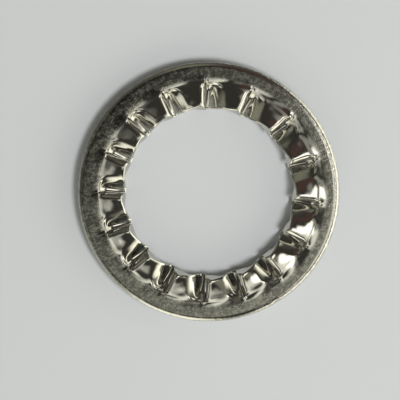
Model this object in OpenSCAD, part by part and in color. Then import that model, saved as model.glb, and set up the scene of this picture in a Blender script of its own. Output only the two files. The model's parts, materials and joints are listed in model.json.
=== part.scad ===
// Star washer: internal-tooth serrated lock washer, stamped from flat stainless strip.
// One piece. The flat rim carries a ring of teeth that point to the bolt; slits part the teeth,
// and each tooth is twisted so that one edge stands above the rim and the other below it.
// +Z is up, and the origin is on the bore axis, half way through the thickness of the rim.

/* [Rim] */
// Diameter of the bore, across the ends of the teeth
bore_d = 21; // [16:0.5:40]
// Width of the flat rim outside the tooth roots
rim_w = 2.5; // [1.8:0.1:5]
// Thickness of the strip
thickness = 1.4; // [1:0.05:2]
// Width of the rolled edge around the upper face
roll_w = 0.45; // [0.1:0.05:0.7]
// Depth of the rolled edge around the upper face
roll_h = 0.28; // [0.1:0.02:0.4]
// Radius on the edge around the lower face
burr_r = 0.15; // [0.05:0.01:0.3]

/* [Teeth] */
// Number of teeth
tooth_count = 16; // [8:1:20]
// Length of a tooth from its root to its end
tooth_len = 3.5; // [2.5:0.1:5]
// Height of the raised edge of a tooth above the rim
tooth_rise = 0.75; // [0.3:0.05:1]
// Depth by which the lowered edge of a tooth is pressed in below the rim's upper face
tooth_press = 1.15; // [0.7:0.05:1.3]
// Width of the slit between two teeth at their roots
slit_root_w = 0.12; // [0.1:0.02:0.4]
// Width of the slit between two teeth at their ends
slit_end_w = 0.3; // [0.2:0.02:0.7]
// Lean of a tooth's side walls at its end, from the twist
wall_lean = 0.56; // [0.1:0.02:0.6]
// Reach of a tooth's shoulder into the rim
shoulder = 1.2; // [0.6:0.1:1.3]
// Turn of an even first slit round the bore from the +X axis
slit_turn = 88.3; // [0:0.1:360]
// Stray of the slits from even spacing that swings once round the washer, and where it is fullest
drift = 3.3; // [0:0.1:4]
drift_from = 133; // [0:1:360]
// Stray of the slits that swings twice round the washer, and where it is fullest
sway = 1.1; // [0:0.1:1.5]
sway_from = 169; // [0:1:360]

/* [Hidden] */
$fn = 96;
root_r = bore_d / 2 + tooth_len;
outer_r = root_r + rim_w;
half_t = thickness / 2;
pitch = 360 / tooth_count;
// Points on each quarter of a rounded edge
edge_steps = 5;
// Depth by which a shoulder's skin starts below the rim's face, so that it grows out of the rim
sink = 0.02;
// Length of tooth that the bore trims off
trim = 0.25;
// Shares of the tooth's length by which its lowered and its raised edge reach their full height
press_full = 0.94;
rise_full = 0.83;
// Curve across the twist: 0 is flat across, 0.5 flattens towards the raised edge
bow = 0.5;
// Bend of the pressed step round the root, from the lowered edge towards the middle
arch = 1.2;
// Places across and along a tooth at which its skin is worked out
across = [0, 0.08, 0.18, 0.3, 0.42, 0.54, 0.68, 0.84, 1];
along = [-shoulder, -0.7 * shoulder, -0.42 * shoulder, -0.25, -0.1, 0.07, 0.24, 0.44, 0.75,
    0.36 * tooth_len, 0.52 * tooth_len, 0.68 * tooth_len, 0.84 * tooth_len, tooth_len + trim];

function ease(x) = let (c = max(0, min(1, x))) c * c * (3 - 2 * c);

// Clockwise angle from an even first slit to slit k, and the room it leaves to the next slit
function slit_deg(k) = let (even = k * pitch)
    even + drift * cos(even - drift_from) + sway * cos(2 * even - sway_from);
function pitch_deg(k) = slit_deg(k + 1) - slit_deg(k);

// Shares of the press and of the rise at a distance w in from the root: most of each comes in
// one step at the root, and the rest by degrees towards the end
function pressed(w) = 0.07 * ease(w + 1) + 0.4 * ease((w + 0.3) / 0.75)
    + 0.53 * ease(w / (press_full * tooth_len));
function risen(w) = 0.25 * ease((w + shoulder) / (shoulder + 0.1)) + 0.35 * ease((w + 0.15) / 0.9)
    + 0.4 * ease(w / (rise_full * tooth_len));

// Height of a tooth's upper skin; u runs from 0 at the lowered edge to 1 at the raised edge
function twist(u) = (tooth_press + tooth_rise) * u * (1 + bow * (1 - u)) - tooth_press;
function raised_side(u) = ease((u - 0.3) / 0.3);
function skin(u, w) = half_t - sink + twist(u)
    * (pressed(w - arch * pow(min(u, 0.5), 2)) * (1 - raised_side(u)) + risen(w) * raised_side(u));

// Clockwise angles from a tooth's own slit to a point across its upper and its lower skin
function gap_w(w) = slit_root_w + (slit_end_w - slit_root_w) * max(0, w) / tooth_len;
function lean_w(w) = let (out = max(0, w) / tooth_len)
    wall_lean * sqrt(ease(3.5 * out)) * (0.6 + 0.4 * out);
function arc_deg(len, w) = len / (root_r - w) * 180 / PI;
function skin_deg(w, room) = room - arc_deg(gap_w(w) + lean_w(w), w);
function upper_deg(u, w, room) = arc_deg(gap_w(w) / 2, w) + u * skin_deg(w, room);
function lower_deg(u, w, room) = arc_deg(gap_w(w) / 2 + lean_w(w), w) + u * skin_deg(w, room);

function on_ring(deg, w, z) = [(root_r - w) * cos(deg), -(root_r - w) * sin(deg), z];

module rim() {
    roll = [for (i = [0 : edge_steps]) let (a = 90 - 90 * i / edge_steps)
        [outer_r - roll_w + roll_w * cos(a), half_t - roll_h + roll_h * sin(a)]];
    burr = [for (i = [0 : edge_steps]) let (a = -90 * i / edge_steps)
        [outer_r - burr_r + burr_r * cos(a), burr_r - half_t + burr_r * sin(a)]];
    rotate_extrude()
        polygon(concat([[root_r, half_t]], roll, burr, [[root_r, -half_t]]));
}

module tooth(room) {
    nu = len(across);
    nw = len(along);
    upper = [for (w = along, u = across) on_ring(upper_deg(u, w, room), w, skin(u, w))];
    lower = [for (w = along, u = across) on_ring(lower_deg(u, w, room), w, -skin(1 - u, w))];
    base = nu * nw;
    last = base - nu;
    upper_faces = [for (j = [0 : nw - 2], i = [0 : nu - 2]) let (a = j * nu + i)
        each [[a, a + 1, a + nu + 1], [a, a + nu + 1, a + nu]]];
    lower_faces = [for (j = [0 : nw - 2], i = [0 : nu - 2]) let (a = base + j * nu + i)
        each [[a, a + nu + 1, a + 1], [a, a + nu, a + nu + 1]]];
    side_faces = [for (j = [0 : nw - 2], edge = [0, nu - 1]) let (a = j * nu + edge, b = a + nu)
        each edge == 0
            ? [[a, b, base + b], [a, base + b, base + a]]
            : [[a, base + b, b], [a, base + a, base + b]]];
    end_faces = [for (i = [0 : nu - 2], row = [0, last]) let (a = row + i)
        each row == 0
            ? [[a, base + a + 1, a + 1], [a, base + a, base + a + 1]]
            : [[a, a + 1, base + a + 1], [a, base + a + 1, base + a]]];
    polyhedron(
        points = concat(upper, lower),
        faces = concat(upper_faces, lower_faces, side_faces, end_faces)
    );
}

module washer() {
    color("#8f8e86")
    difference() {
        union() {
            rim();
            for (k = [0 : tooth_count - 1])
                rotate(slit_turn - slit_deg(k)) tooth(pitch_deg(k));
        }
        cylinder(d = bore_d, h = 2 * (thickness + 2 * tooth_rise), center = true);
    }
}

washer();
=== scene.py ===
import bpy
import bmesh
import json
import math
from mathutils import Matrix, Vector, noise


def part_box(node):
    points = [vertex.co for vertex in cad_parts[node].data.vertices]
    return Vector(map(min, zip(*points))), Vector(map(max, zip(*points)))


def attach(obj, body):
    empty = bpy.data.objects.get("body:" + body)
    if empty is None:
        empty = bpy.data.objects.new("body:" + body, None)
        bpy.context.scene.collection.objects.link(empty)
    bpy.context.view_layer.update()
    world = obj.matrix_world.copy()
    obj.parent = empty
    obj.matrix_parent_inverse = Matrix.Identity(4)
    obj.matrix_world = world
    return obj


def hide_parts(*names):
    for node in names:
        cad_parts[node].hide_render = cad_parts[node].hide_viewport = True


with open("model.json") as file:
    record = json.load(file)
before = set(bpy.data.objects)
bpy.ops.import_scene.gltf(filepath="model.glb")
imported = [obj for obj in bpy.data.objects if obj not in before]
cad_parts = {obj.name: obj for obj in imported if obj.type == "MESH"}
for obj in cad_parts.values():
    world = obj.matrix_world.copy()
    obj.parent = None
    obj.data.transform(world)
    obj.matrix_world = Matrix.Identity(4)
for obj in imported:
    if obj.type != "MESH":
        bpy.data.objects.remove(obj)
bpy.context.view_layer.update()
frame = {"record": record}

# --- Washer -------------------------------------------------------------------------------------
# One ring of stainless strip. It is blanked, the slits between its teeth are cut, and a pair of
# dies twists every tooth at once, so one edge stands above the rim and the other below it.
# Tumbling then rounds the edges and leaves the rim satin and the twisted teeth burnished.
MM = 0.001
mounts = {m["name"]: m for m in frame["record"]["mounts"]}
box_low, box_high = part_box("washer")

# the blank, in millimetres, and the slits, which stray from an even spacing in one wave and in
# two waves round the ring
OUTER_R = box_high.x / MM
BORE_R = mounts["bore"]["dims"]["r_mm"]
HALF_T = mounts["upper_rim"]["pos_m"][2] / MM
TEETH = 16
TOOTH_LEN = 3.5
ROOT_R = BORE_R + TOOTH_LEN
PITCH = 2 * math.pi / TEETH
FIRST_SLIT = math.radians(88.3)
DRIFT, DRIFT_FROM = math.radians(3.3), math.radians(133)
SWAY, SWAY_FROM = math.radians(1.1), math.radians(169)
SLIT_ROOT, SLIT_END = 0.1, 0.16

# the twist: the rise of one edge of a tooth, the drop of the other, and how much both stray
RISE = box_high.z / MM - HALF_T
PRESS = 1.3
STRAY = 0.1
# across a tooth it leaves the lowered edge on a ledge, climbs a steeper bank and then levels out
LEDGE, LEDGE_LIFT, LEDGE_SLOPE = 0.24, 0.525, 0.3
BANK_H, BANK_FROM, BANK_W = 0.2, 0.22, 0.32
BANK_IN, BANK_LEN = 0.1, 1.2
LEVELLING = 0.6
SIDE_FROM, SIDE_W = 0.25, 0.35
# along the lowered side: a dish in the rim, a step at the root with an arched foot, a long bend
DISH, DISH_LEN = 0.07, 0.6
STEP, STEP_LEN, STEP_BACK = 0.37, 0.42, 0.1
BEND, BEND_LEN = 0.56, 3.1
ARCH_MIDDLE, ARCH_BEND, ARCH_DEEPEST = 0.14, 9, 0.8
# along the raised side: a hump in the rim, a slight sag behind it, and the climb to the end
HUMP, HUMP_FROM, HUMP_LEN, HUMP_BEND = 0.36, 1.1, 1.12, 1.5
SAG, SAG_LEN = 0.05, 0.5
CLIMB, CLIMB_LEN, CLIMB_BEND = 0.69, 2.9, 0.2
# in the rim the two sides of a slit's line run together, over a width that grows away from it
JOIN_W, JOIN_GROWTH = 0.2, 0.45

# the wall under a raised edge slopes back from its foot, the top of a lowered edge reaches over
# the slit, and the ends of the teeth slant back as the twist turns them away
LEAN, LEAN_STEEPNESS, LEAN_AT_ROOT = 0.45, 5, 0.7
UNDER, UNDER_STEEPNESS = 0.22, 1.4
SET_BACK, SET_BACK_BEND = 0.5, 1.5

# wear: the rolled upper and burred lower edge of the rim, its crown, and the teeth's edges
ROLL_W, ROLL_H = 0.5, 0.3
BURR_R = 0.15
CROWN, CROWN_W = 0.12, 2.1
EDGE_R = 0.17
END_W, END_H = 0.24, 0.13
LOW_W, LOW_H = 0.15, 0.12
CREST_W, CREST_H = 0.3, 0.14
WORN_BEND = 1.6
WEAR_FULL, WEAR_DEEPEST = 0.3, 0.5
POCKET_IN, POCKET_W, POCKET_H = 0.45, 0.95, 0.36
POCKET_FROM, POCKET_L, POCKET_DISH = 0.02, 1.1, 0.05
DENTS = ((2.4, 0.05), (1, 0.013))
BURNISHED_PAST_ROOT = 0.9
NICK_TURN, NICK_SIZE, NICK_H, NICK_STEEPNESS = math.radians(148), 0.55, 0.22, 1.3

# how finely the mesh follows all that, closest together at the tooth edges and the roots
EDGE_STEPS = (0, 0.03, 0.13, 0.32, 0.6, 1)
BODY_COLUMNS, COLUMN_GATHERING = 24, 1.2
ROLL_ROWS = 6
ROW_RUNS = ((-1.2, 4), (-0.2, 8), (0.8, 22), (TOOTH_LEN - END_W, 14))
WALL_ROWS = 4


def ease(x):
    x = min(max(x, 0.0), 1.0)
    return x * x * (3 - 2 * x)


def slit_width(w):
    return SLIT_ROOT + (SLIT_END - SLIT_ROOT) * max(w, 0) / TOOTH_LEN


def spread(start, end, count):
    return [start + (end - start) * i / count for i in range(count + 1)]


# distances in from the root circle at which the blank has a ring of points
rows = [ROOT_R - OUTER_R + ROLL_W * (1 - math.cos(a)) for a in spread(0, math.pi / 2, ROLL_ROWS)]
for row_end, count in ROW_RUNS:
    rows += spread(rows[-1], row_end, count)[1:]
rows += [TOOTH_LEN - END_W * s for s in reversed(EDGE_STEPS[:-1])]
first_tooth_row = next(j for j, w in enumerate(rows) if w > 0)

# one tooth's sector of the blank, flat: its outermost columns are the halves of two slits
edge_columns = len(EDGE_STEPS) - 1
columns = 2 * edge_columns + BODY_COLUMNS + 2
bm = bmesh.new()
bmesh.ops.create_grid(bm, x_segments=columns, y_segments=len(rows) - 1, size=1)


def flat_place(i, w):
    """Arc length, from the middle of the slit, of column i of the blank at depth w."""
    arc = PITCH * (ROOT_R - w)
    half_slit = slit_width(w) / 2
    if i == 0:
        return 0
    if i == columns:
        return arc
    i -= 1
    last = columns - 2
    if i <= edge_columns:
        return half_slit + EDGE_R * EDGE_STEPS[i]
    if i >= last - edge_columns:
        return arc - half_slit - EDGE_R * EDGE_STEPS[last - i]
    inner = arc - 2 * (half_slit + EDGE_R)
    return half_slit + EDGE_R + inner * ((i - edge_columns) / BODY_COLUMNS) ** COLUMN_GATHERING


slit_faces = []
for face in bm.faces:
    centre = face.calc_center_median()
    i = int((centre.x + 1) / 2 * columns)
    j = int((centre.y + 1) / 2 * (len(rows) - 1))
    if j >= first_tooth_row and i in (0, columns - 1):
        slit_faces.append(face)
bmesh.ops.delete(bm, geom=slit_faces, context="FACES")
for vert in bm.verts:
    i = round((vert.co.x + 1) / 2 * columns)
    w = rows[round((vert.co.y + 1) / 2 * (len(rows) - 1))]
    turn = FIRST_SLIT - flat_place(i, w) / (ROOT_R - w)
    vert.co = Vector(((ROOT_R - w) * math.cos(turn), (ROOT_R - w) * math.sin(turn), -HALF_T))
bmesh.ops.spin(
    bm, geom=bm.verts[:] + bm.edges[:] + bm.faces[:], axis=(0, 0, 1), cent=(0, 0, 0),
    angle=-PITCH * (TEETH - 1), steps=TEETH - 1, use_duplicate=True,
)
bmesh.ops.remove_doubles(bm, verts=bm.verts[:], dist=1e-4)

# the strip's thickness, with rows of points up the walls between its two skins
lifted = bmesh.ops.extrude_face_region(bm, geom=bm.faces[:], use_keep_orig=True)
upper = [g for g in lifted["geom"] if isinstance(g, bmesh.types.BMVert)]
bmesh.ops.translate(bm, verts=upper, vec=(0, 0, 2 * HALF_T))
upright = [e for e in bm.edges if abs(e.verts[0].co.z - e.verts[1].co.z) > HALF_T]
bmesh.ops.subdivide_edges(bm, edges=upright, cuts=WALL_ROWS, use_grid_fill=True)


def own(k, what):
    """How far tooth k strays from an even one, from -1 to 1."""
    return noise.noise(Vector((k % TEETH * 1.73 + 0.4, 3.1 * what + 0.7, 9.2)))


def slit_turn(k):
    """Angle of slit k, clockwise from the first: the die set them a little unevenly."""
    even = k * PITCH
    return even + DRIFT * math.cos(even - DRIFT_FROM) + SWAY * math.cos(2 * even - SWAY_FROM)


def rounded(d, wide, deep):
    """Drop of a rounded edge at distance d in from it."""
    if d >= wide:
        return 0
    return deep * (1 - math.sqrt(max(0, 1 - (1 - max(d, 0) / wide) ** 2)))


def worn(d, wide, deep):
    """Drop of an edge that tumbling has worn to a bank, at distance d in from it."""
    return deep * min(max(0, 1 - d / wide), 1) ** WORN_BEND


def pocket(left, w):
    """Drop of the pocket that the die presses along the lowered edge, round-ended at the root."""
    across = (left - POCKET_IN) / POCKET_W
    to_root = min(max(1 - (w - POCKET_FROM) / POCKET_L, 0), 1)
    inside = 1 - math.hypot(across, to_root)
    return POCKET_H * (ease(inside / (1 - POCKET_DISH)) + POCKET_DISH * max(0, inside))


def lowered_share(w, arch):
    """Share of the twist that a tooth's lowered side has at depth w."""
    dish = DISH * ease((w + DISH_LEN) / DISH_LEN)
    step = STEP * ease((w + STEP_BACK - arch) / STEP_LEN)
    return dish + step + BEND * ease(w / BEND_LEN)


def raised_share(w):
    """Share of the twist that a tooth's raised side has at depth w."""
    out = min(max(w / CLIMB_LEN, 0), 1)
    hump = HUMP * min(max((w + HUMP_FROM) / HUMP_LEN, 0), 1) ** HUMP_BEND
    return hump - SAG * ease(w / SAG_LEN) + CLIMB * out * (1 - CLIMB_BEND + CLIMB_BEND * out)


def dented(co, size, depth):
    """Height of the shallow dents that tumbling leaves, about size mm across."""
    return depth * noise.noise(Vector((co.x, co.y, 4.1 * co.z)) / size)


def twist(u, w, k):
    """Height that the twist gives a tooth at u, from its lowered edge 0 to its raised edge 1."""
    u = min(max(u, 0), 1)
    low = PRESS * (1 + STRAY * own(k, 0))
    high = RISE * (1 - STRAY + STRAY * own(k, 1))
    near = min(u / LEDGE, 1)
    ledge = LEDGE_LIFT + LEDGE_SLOPE * near + (1 - LEDGE_LIFT - LEDGE_SLOPE) * near ** 4
    climb = u - LEDGE * near + LEDGE * ledge
    across = -low + (low + high) * climb * (1 + LEVELLING - LEVELLING * climb)
    side = ease((u - SIDE_FROM) / SIDE_W)
    arch = min(ARCH_BEND * (u - ARCH_MIDDLE) ** 2, ARCH_DEEPEST)
    bank = BANK_H * (ease((u - BANK_FROM) / BANK_W) - u) * ease((w - BANK_IN) / BANK_LEN)
    return across * (lowered_share(w, arch) * (1 - side) + raised_share(w) * side) + bank


def skin(u, w, k, arc, upper_side):
    """Height of one skin above the middle of the sheet, seen with that skin on top."""
    height = twist(u, w, k)
    if w < 0:
        near = min(u, 1 - u) * arc
        share = 0.5 * (1 - ease(near / (JOIN_W - JOIN_GROWTH * w)))
        height += share * (twist(1 - u, w, k) - height)
    outer = OUTER_R - (ROOT_R - w)
    if upper_side:
        drop = worn(outer, ROLL_W, ROLL_H) + CROWN * max(0, 1 - outer / CROWN_W) ** 2
    else:
        drop = rounded(outer, BURR_R, BURR_R)
    if w > 0:
        at_root = ease(w / WEAR_FULL)
        left = u * arc
        right = (1 - u) * arc
        if upper_side:
            corner = at_root * (rounded(left, LOW_W, LOW_H) + worn(right, CREST_W, CREST_H))
            corner += worn(TOOTH_LEN - w, END_W, END_H)
            drop += pocket(left, w)
        else:
            corner = at_root * (rounded(left, EDGE_R, EDGE_R) + rounded(right, EDGE_R, EDGE_R))
            corner += rounded(TOOTH_LEN - w, EDGE_R, EDGE_R)
        drop += min(corner, WEAR_DEEPEST)
    return HALF_T + height - drop


def formed(co):
    """Where the dies and the tumbling leave a point of the flat blank."""
    r = math.hypot(co.x, co.y)
    w = ROOT_R - r
    s = (co.z + HALF_T) / (2 * HALF_T)
    # the slit that the point follows, and how far toward the next slit it is
    turned = (FIRST_SLIT - math.atan2(co.y, co.x) + 1e-7) % (2 * math.pi)
    k = int(turned / PITCH)
    share = (turned - k * PITCH) / PITCH
    own_pitch = slit_turn(k + 1) - slit_turn(k)
    arc = own_pitch * r
    slit = slit_width(w)
    u = (share * arc - slit / 2) / (arc - slit)
    top = skin(u, w, k, arc - slit, True)
    low = -skin(1 - u, w, k, arc - slit, False)
    if w > 0:
        out = w / TOOTH_LEN
        lean = LEAN * min(out * LEAN_STEEPNESS, 1) ** 0.5
        lean *= LEAN_AT_ROOT + (1 - LEAN_AT_ROOT) * out
        u = min(max(u, 0), 1)
        undercut = s * UNDER * ease(out * UNDER_STEEPNESS) * (1 - u) ** 2
        along = slit / 2 + u * (arc - slit - lean) + (1 - s ** 3) * lean - undercut
        r += SET_BACK * out ** SET_BACK_BEND * (s * ease(u) + (1 - s) * ease(1 - u))
        share = along / arc
    angle = FIRST_SLIT - slit_turn(k) - share * own_pitch
    return Vector((r * math.cos(angle), r * math.sin(angle), low + (top - low) * s))


# the rows up the walls are marked, for a darker tone that is partly painted shade
sheared_wall_shade = bm.verts.layers.float.new("sheared_wall_shade")
nick = Vector((OUTER_R * math.sin(NICK_TURN), OUTER_R * math.cos(NICK_TURN), HALF_T - ROLL_H))
for vert in bm.verts:
    vert[sheared_wall_shade] = float(abs(vert.co.z) < 0.9 * HALF_T)
    burnished = ease((ROOT_R + BURNISHED_PAST_ROOT - vert.co.xy.length) / BURNISHED_PAST_ROOT)
    vert.co = formed(vert.co)
    vert.co.z += burnished * sum(dented(vert.co, size, depth) for size, depth in DENTS)
    # one knock has nicked the rim's upper edge
    from_nick = (vert.co - nick).length / NICK_SIZE
    vert.co.z -= NICK_H * ease(NICK_STEEPNESS - NICK_STEEPNESS * from_nick)
bmesh.ops.recalc_face_normals(bm, faces=bm.faces[:])
bmesh.ops.scale(bm, verts=bm.verts[:], vec=(MM, MM, MM))
for face in bm.faces:
    face.smooth = True
washer_mesh = bpy.data.meshes.new("washer_sheet")
bm.to_mesh(washer_mesh)
bm.free()
washer = bpy.data.objects.new("washer_sheet", washer_mesh)
bpy.context.scene.collection.objects.link(washer)

# the metal: a burnished tone and a pitted satin one, and where on the washer each is found
TOOTH_DARK, TOOTH_PALE = (0.6, 0.59, 0.54, 1), (0.66, 0.65, 0.6, 1)
RIM_DARK, RIM_PALE = (0.175, 0.175, 0.154, 1), (0.39, 0.39, 0.343, 1)
# the walls' tone: partly their own, partly painted shade
WALL_TONE_AND_SHADE = (0.58, 0.575, 0.53, 1)
# the satin rim's bounds, and two leans that pull the pale burnished tone over more of the rim
# toward +X, the lamp's side: a painted highlight
SATIN_FROM, SATIN_FULL, PAINTED_SHEEN_LEAN = 0.0141, 0.0147, 0.03
SATIN_ENDS, SATIN_GONE, EDGE_PAINTED_SHEEN_LEAN = 0.0159, 0.0162, 0.018
KNOCKS_FROM, KNOCKS_ROUGH, KNOCKS_FULL = 0.016, 0.0164, 0.0165
SPECKLE_SCALE, KNOCK_SCALE, MOTTLE_SCALE = 4700, 2300, 700
TOOTH_ROUGHNESS, SATIN_ROUGHER, KNOCKED_ROUGHER = 0.09, 0.12, 0.07
TOOTH_PITS, SATIN_PITS, KNOCK_DEPTH = 0.02, 4, 6.5
PIT_SIZE = 0.00001
steel = bpy.data.materials.new("tumbled_steel")
steel.use_nodes = True
nodes, links = steel.node_tree.nodes, steel.node_tree.links
bsdf = nodes["Principled BSDF"]
bsdf.inputs["Metallic"].default_value = 1


def node(kind, **settings):
    """A shader node with its settings, in the tree whose nodes and links are in hand."""
    made = nodes.new(kind)
    for name, value in settings.items():
        setattr(made, name, value)
    return made


def feed(socket, value):
    """Give a socket its number or colour, or link it to the output that carries it."""
    if isinstance(value, bpy.types.NodeSocket):
        links.new(value, socket)
    else:
        socket.default_value = value


def math_node(operation, first, second):
    made = node("ShaderNodeMath", operation=operation)
    for socket, value in zip(made.inputs, (first, second)):
        feed(socket, value)
    return made.outputs[0]


def blend(amount, first, second, how="MIX"):
    made = node("ShaderNodeMix", data_type="RGBA", blend_type=how)
    for name, value in (("Factor", amount), ("A", first), ("B", second)):
        feed(made.inputs[name], value)
    return made.outputs["Result"]


def ramp_between(value, start, end, low, high):
    made = node("ShaderNodeMapRange", interpolation_type="SMOOTHSTEP")
    links.new(value, made.inputs["Value"])
    for name, number in (("From Min", start), ("From Max", end), ("To Min", low), ("To Max", high)):
        made.inputs[name].default_value = number
    return made.outputs["Result"]


def grain(place, scale, rough=0.5):
    made = node("ShaderNodeTexNoise")
    links.new(place, made.inputs["Vector"])
    made.inputs["Scale"].default_value = scale
    made.inputs["Detail"].default_value = 3
    made.inputs["Roughness"].default_value = rough
    return made.outputs["Fac"]


place = node("ShaderNodeTexCoord").outputs["Object"]
split = node("ShaderNodeSeparateXYZ")
links.new(place, split.inputs[0])
radius = math_node("SQRT", math_node("ADD", math_node("POWER", split.outputs[0], 2),
                                     math_node("POWER", split.outputs[1], 2)), 0)
# 1 on the satin rim, 0 on the burnished teeth and outer edge; toward +X, the lamp's side, the pale
# burnished tone reaches further over the rim, which is a painted highlight there
inner = math_node("SUBTRACT", radius, math_node("MULTIPLY", split.outputs[0], PAINTED_SHEEN_LEAN))
outer = math_node("ADD", radius, math_node("MULTIPLY", split.outputs[0], EDGE_PAINTED_SHEEN_LEAN))
satin_and_painted_sheen = math_node("MULTIPLY", ramp_between(inner, SATIN_FROM, SATIN_FULL, 0, 1),
                  ramp_between(outer, SATIN_ENDS, SATIN_GONE, 1, 0))
speckle = grain(place, SPECKLE_SCALE, 0.7)
knocks = grain(place, KNOCK_SCALE)
mottle = grain(place, MOTTLE_SCALE)
grit = math_node("MULTIPLY", math_node("ADD", speckle, knocks), 0.5)
roughness = math_node("ADD", math_node("MULTIPLY", satin_and_painted_sheen, SATIN_ROUGHER), TOOTH_ROUGHNESS)
roughness = math_node("ADD", roughness, ramp_between(mottle, 0.35, 0.65, -0.01, 0.02))
blotch = math_node("MULTIPLY", satin_and_painted_sheen, ramp_between(knocks, 0.35, 0.65, -0.05, 0.05))
roughness = math_node("ADD", roughness, blotch)
knocked = ramp_between(outer, KNOCKS_FROM, KNOCKS_ROUGH, 0, KNOCKED_ROUGHER)
links.new(math_node("ADD", roughness, knocked), bsdf.inputs["Roughness"])
tooth_tone = blend(ramp_between(speckle, 0.35, 0.6, 0, 1), TOOTH_DARK, TOOTH_PALE)
rim_tone = blend(ramp_between(grit, 0.44, 0.62, 0, 1), RIM_DARK, RIM_PALE)
# the walls that the die sheared are a little darker than the teeth, partly the torn metal's own
# tone and partly painted shade, as the real walls face shadowed floor in the slits; tumbling leaves
# them no satin
wall_shade_mark = node("ShaderNodeAttribute", attribute_name="sheared_wall_shade").outputs["Fac"]
tone = blend(wall_shade_mark, blend(satin_and_painted_sheen, tooth_tone, rim_tone), WALL_TONE_AND_SHADE)
links.new(tone, bsdf.inputs["Base Color"])
# tumbling pits the satin rim finely all over and knocks its outer edge about more coarsely
tumbled = node("ShaderNodeBump")
tumbled.inputs["Strength"].default_value = 1
tumbled.inputs["Distance"].default_value = PIT_SIZE
pit_depth = math_node("ADD", math_node("MULTIPLY", satin_and_painted_sheen, SATIN_PITS), TOOTH_PITS)
pits = math_node("MULTIPLY", grit, pit_depth)
edge_knocks = math_node("MULTIPLY", knocks,
                        ramp_between(outer, KNOCKS_FROM, KNOCKS_FULL, 0, KNOCK_DEPTH))
links.new(math_node("ADD", pits, edge_knocks), tumbled.inputs["Height"])
links.new(tumbled.outputs["Normal"], bsdf.inputs["Normal"])
washer_mesh.materials.append(steel)
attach(washer, "root")
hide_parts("washer")

# --- Floor --------------------------------------------------------------------------------------
# A plain pale sheet that the washer lies on, under the lowered edges of its teeth.
FLOOR_SIZE = 1.2
bm = bmesh.new()
bmesh.ops.create_grid(bm, x_segments=1, y_segments=1, size=FLOOR_SIZE)
bmesh.ops.translate(bm, verts=bm.verts[:], vec=(0, 0, box_low.z))
floor_mesh = bpy.data.meshes.new("floor")
bm.to_mesh(floor_mesh)
bm.free()
floor = bpy.data.objects.new("floor", floor_mesh)
bpy.context.scene.collection.objects.link(floor)
paper = bpy.data.materials.new("pale_floor")
paper.use_nodes = True
paper_bsdf = paper.node_tree.nodes["Principled BSDF"]
paper_bsdf.inputs["Base Color"].default_value = (0.75, 0.785, 0.84, 1)
paper_bsdf.inputs["Roughness"].default_value = 0.6
paper_bsdf.inputs["Specular IOR Level"].default_value = 0.2
floor_mesh.materials.append(paper)

# --- Light --------------------------------------------------------------------------------------
# One round soft lamp toward the lower right of the view, and a plain studio round the table for
# the metal to mirror: dark overhead, a dim wall all round it, and soft brighter panels.


def way(turn, height):
    """Direction at a turn clockwise from +Y and a height above the table, both in degrees."""
    turn, height = math.radians(turn), math.radians(height)
    level = math.cos(height)
    return Vector((math.sin(turn) * level, math.cos(turn) * level, math.sin(height)))


LAMP_WAY = way(113, 64)
LAMP_DISTANCE = 0.45
LAMP_SIZE = 0.15
lamp_data = bpy.data.lights.new("key_lamp", "AREA")
lamp_data.shape = "DISK"
lamp_data.size = LAMP_SIZE
lamp_data.energy = 0.9
lamp_data.color = (1, 0.985, 0.94)
lamp = bpy.data.objects.new("key_lamp", lamp_data)
lamp.location = LAMP_DISTANCE * LAMP_WAY
lamp.rotation_euler = LAMP_WAY.to_track_quat("Z", "Y").to_euler()
lamp.visible_glossy = False
bpy.context.scene.collection.objects.link(lamp)

BLACK = (0, 0, 0, 1)
WALL_COLOUR, WALL_FULL, WALL_TOP = (0.075, 0.073, 0.06, 1), 0.2, 0.8
DIM_COLOUR = (0.042, 0.041, 0.036, 1)
BACKDROP = (0.62, 0.63, 0.64, 1)
world = bpy.data.worlds.new("studio")
bpy.context.scene.world = world
world.use_nodes = True
nodes, links = world.node_tree.nodes, world.node_tree.links
sky = nodes["Background"]
toward = node("ShaderNodeTexCoord").outputs["Generated"]
rise = node("ShaderNodeSeparateXYZ")
links.new(toward, rise.inputs[0])


def panel(turn, height, inner, outer, colour):
    """Soft round panel: full within inner degrees of its middle, gone at outer degrees."""
    facing = node("ShaderNodeVectorMath", operation="DOT_PRODUCT")
    links.new(toward, facing.inputs[0])
    facing.inputs[1].default_value = way(turn, height)
    amount = ramp_between(facing.outputs["Value"], math.cos(math.radians(outer)),
                          math.cos(math.radians(inner)), 0, 1)
    return blend(amount, BLACK, (*colour, 1))


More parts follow.
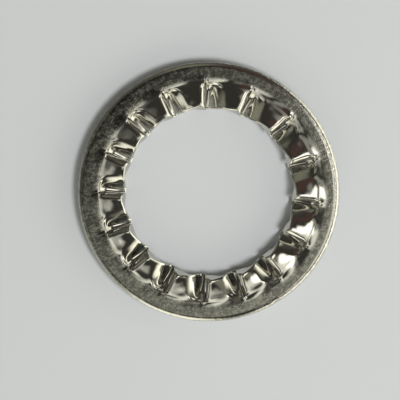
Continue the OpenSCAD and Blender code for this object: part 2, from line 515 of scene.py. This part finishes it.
wall = blend(ramp_between(rise.outputs[2], WALL_FULL, WALL_TOP, 1, 0), BLACK, WALL_COLOUR)
dim = blend(ramp_between(rise.outputs[2], -1, 1, 0.9, 1), BLACK, DIM_COLOUR)
room = blend(1, wall, dim, "ADD")
for lit in (
    panel(90, 65, 3, 12, (1.9, 1.87, 1.73)),
    panel(112, 69, 3, 14, (0.5, 0.49, 0.45)),
    panel(140, 69, 3, 15, (0.5, 0.495, 0.44)),
    panel(170, 67, 3, 15, (0.6, 0.6, 0.54)),
    panel(205, 67, 3, 15, (0.52, 0.52, 0.47)),
    panel(237, 66, 2, 14, (0.09, 0.09, 0.08)),
    panel(48, 82, 2, 12, (0.3, 0.3, 0.27)),
    panel(75, 26, 4, 22, (0.3, 0.29, 0.23)),
    panel(112, 26, 4, 20, (0.55, 0.54, 0.45)),
    panel(60, 12, 8, 26, (1.2, 1.17, 1)),
    panel(98, 12, 8, 30, (1.5, 1.47, 1.33)),
    panel(140, 12, 8, 30, (1.6, 1.55, 1.3)),
    panel(196, 14, 6, 28, (1.4, 1.37, 1.17)),
    panel(288, 34, 2, 24, (0.22, 0.22, 0.165)),
    panel(345, 38, 2, 20, (0.16, 0.16, 0.12)),
    panel(232, 16, 3, 20, (0.7, 0.69, 0.59)),
    panel(20, 60, 3, 18, (0.045, 0.011, 0.008)),
    panel(108, 46, 3, 16, (0.2, 0.2, 0.155)),
    panel(246, 38, 3, 14, (0.9, 0.88, 0.78)),
):
    room = blend(1, room, lit, "ADD")
seen = node("ShaderNodeLightPath").outputs["Is Camera Ray"]
links.new(blend(seen, room, BACKDROP), sky.inputs["Color"])

# --- Camera -------------------------------------------------------------------------------------
# Almost straight down on the washer, leaning a few degrees from its far side.
CAMERA_DISTANCE = 0.25
CAMERA_LEAN = math.radians(7.5)
VIEW_WIDTH = 0.0506
SENSOR_WIDTH = 36
AIM = Vector((-0.00113, -0.00095, 0))
camera_data = bpy.data.cameras.new("camera")
camera_data.sensor_width = SENSOR_WIDTH
camera_data.lens = SENSOR_WIDTH * CAMERA_DISTANCE / VIEW_WIDTH
camera_data.clip_start = 0.01
camera = bpy.data.objects.new("camera", camera_data)
camera.location = AIM + CAMERA_DISTANCE * Vector((0, math.sin(CAMERA_LEAN), math.cos(CAMERA_LEAN)))
camera.rotation_euler = (-CAMERA_LEAN, 0, 0)
bpy.context.scene.collection.objects.link(camera)
bpy.context.scene.camera = camera
bpy.context.scene.view_settings.view_transform = "Standard"
